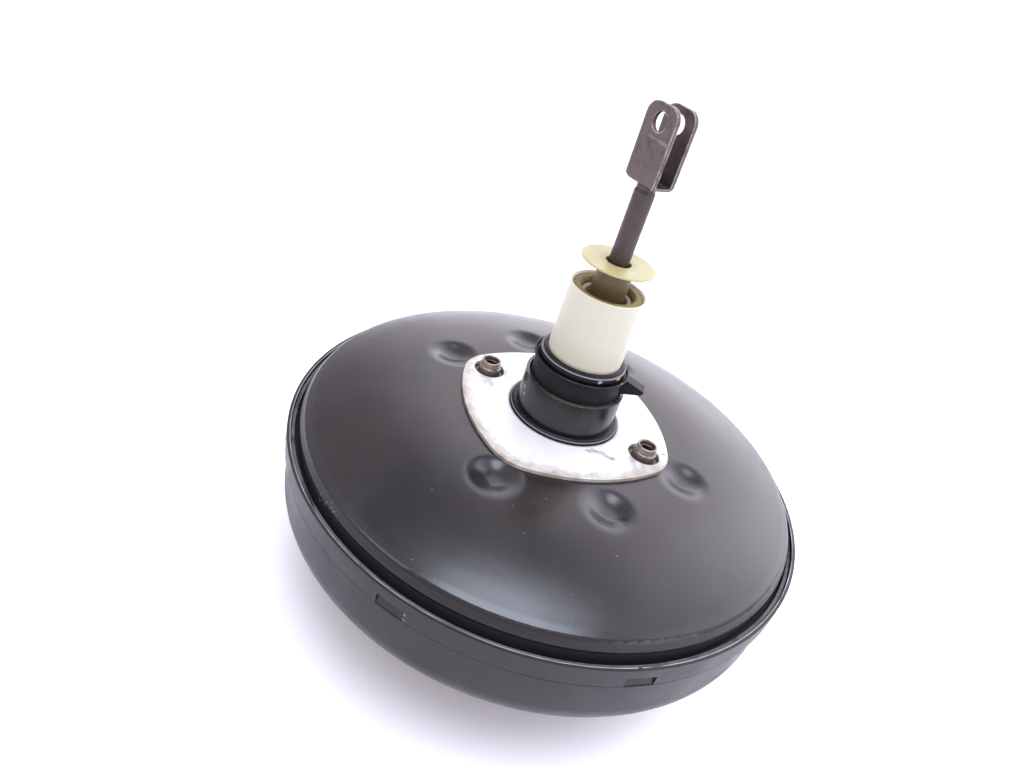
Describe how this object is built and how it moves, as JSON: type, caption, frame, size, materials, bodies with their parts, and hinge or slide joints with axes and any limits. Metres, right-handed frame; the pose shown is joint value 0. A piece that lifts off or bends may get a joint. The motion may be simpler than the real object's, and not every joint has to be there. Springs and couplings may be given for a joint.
{
  "type": "vacuum brake booster",
  "caption": "Round vacuum brake booster with domed pedal-side shell, sliding valve body, input pushrod with clevis, output rod, check valve and studs for a master cylinder.",
  "frame": {"origin": "on the booster's axis, in the plane of the mounting plate's pedal-side face", "axes": "+Z along the axis towards the pedal, +X through one threaded insert"},
  "size_m": [0.28, 0.28, 0.2869],
  "materials": {
    "shell_side_paint": "satin",
    "shell_dome_paint": "semi-gloss",
    "bare_plate": "satin",
    "insert_steel": "worn",
    "neck_rubber": "satin",
    "seal_rubber": "satin",
    "bearing_plastic": "satin",
    "inner_steel": "plain",
    "zinc_steel": "zinc plated",
    "valve_plastic": "satin",
    "spring_steel": "plain",
    "ivory_plastic": "satin",
    "rod_steel": "worn",
    "filter_felt": "matte",
    "filter_foam": "matte",
    "clevis_steel": "worn",
    "cream_plastic": "satin, slightly translucent"
  },
  "bodies": {
    "housing": {"front_shell": "shell_side_paint", "rear_shell": "shell_dome_paint", "mounting_plate": "bare_plate", "threaded_inserts": "insert_steel", "neck_base_ring": "neck_rubber", "neck_seal": "seal_rubber", "guide_bearing": "bearing_plastic", "wiper_lip": "seal_rubber", "reinforcement_plate": "inner_steel", "master_cylinder_studs": "zinc_steel", "front_seal": "seal_rubber", "seal_retainer": "inner_steel", "check_valve_grommet": "seal_rubber", "check_valve_body": "valve_plastic", "check_valve_spring": "spring_steel", "return_spring": "spring_steel", "diaphragm": "seal_rubber"},
    "power_piston": {"valve_body": "ivory_plastic", "valve_key": "inner_steel", "diaphragm_plate": "inner_steel", "reaction_disc": "seal_rubber", "output_rod": "rod_steel", "output_rod_retainer": "inner_steel", "poppet_valve": "seal_rubber", "poppet_retainer": "inner_steel", "poppet_spring": "spring_steel", "air_filter": "filter_felt", "filter_ring": "filter_foam", "rod_return_spring": "spring_steel"},
    "control_plunger": {"plunger": "rod_steel"},
    "input_rod": {"pushrod": "rod_steel", "pedal_clevis": "clevis_steel", "flanged_sleeve": "cream_plastic", "rod_spring_seat": "inner_steel"},
    "check_disc": {"check_valve_disc": "seal_rubber"}
  },
  "joints": [
    {"name": "piston_stroke", "type": "slide", "parent": "housing", "child": "power_piston", "axis": [0, 0, -1], "range_m": [0, 0.032], "stiffness_N_per_m": 2500, "springref_m": -0.04, "deforming": ["return_spring", "diaphragm"]},
    {"name": "plunger_travel", "type": "slide", "parent": "power_piston", "child": "control_plunger", "axis": [0, 0, -1], "range_m": [0, 0.0025], "stiffness_N_per_m": 1500, "springref_m": -0.01, "deforming": ["rod_return_spring"]},
    {"name": "rod_tilt", "type": "hinge", "parent": "control_plunger", "child": "input_rod", "pos_m": [0, 0, -0.006], "axis": [0.5, 0.866, 0], "range_deg": [-1, 1], "stiffness_Nm_per_rad": 2},
    {"name": "check_lift", "type": "slide", "parent": "housing", "child": "check_disc", "axis": [0, 0, -1], "range_m": [0, 0.0015], "stiffness_N_per_m": 100, "springref_m": -0.004, "deforming": ["check_valve_spring"]}
  ]
}
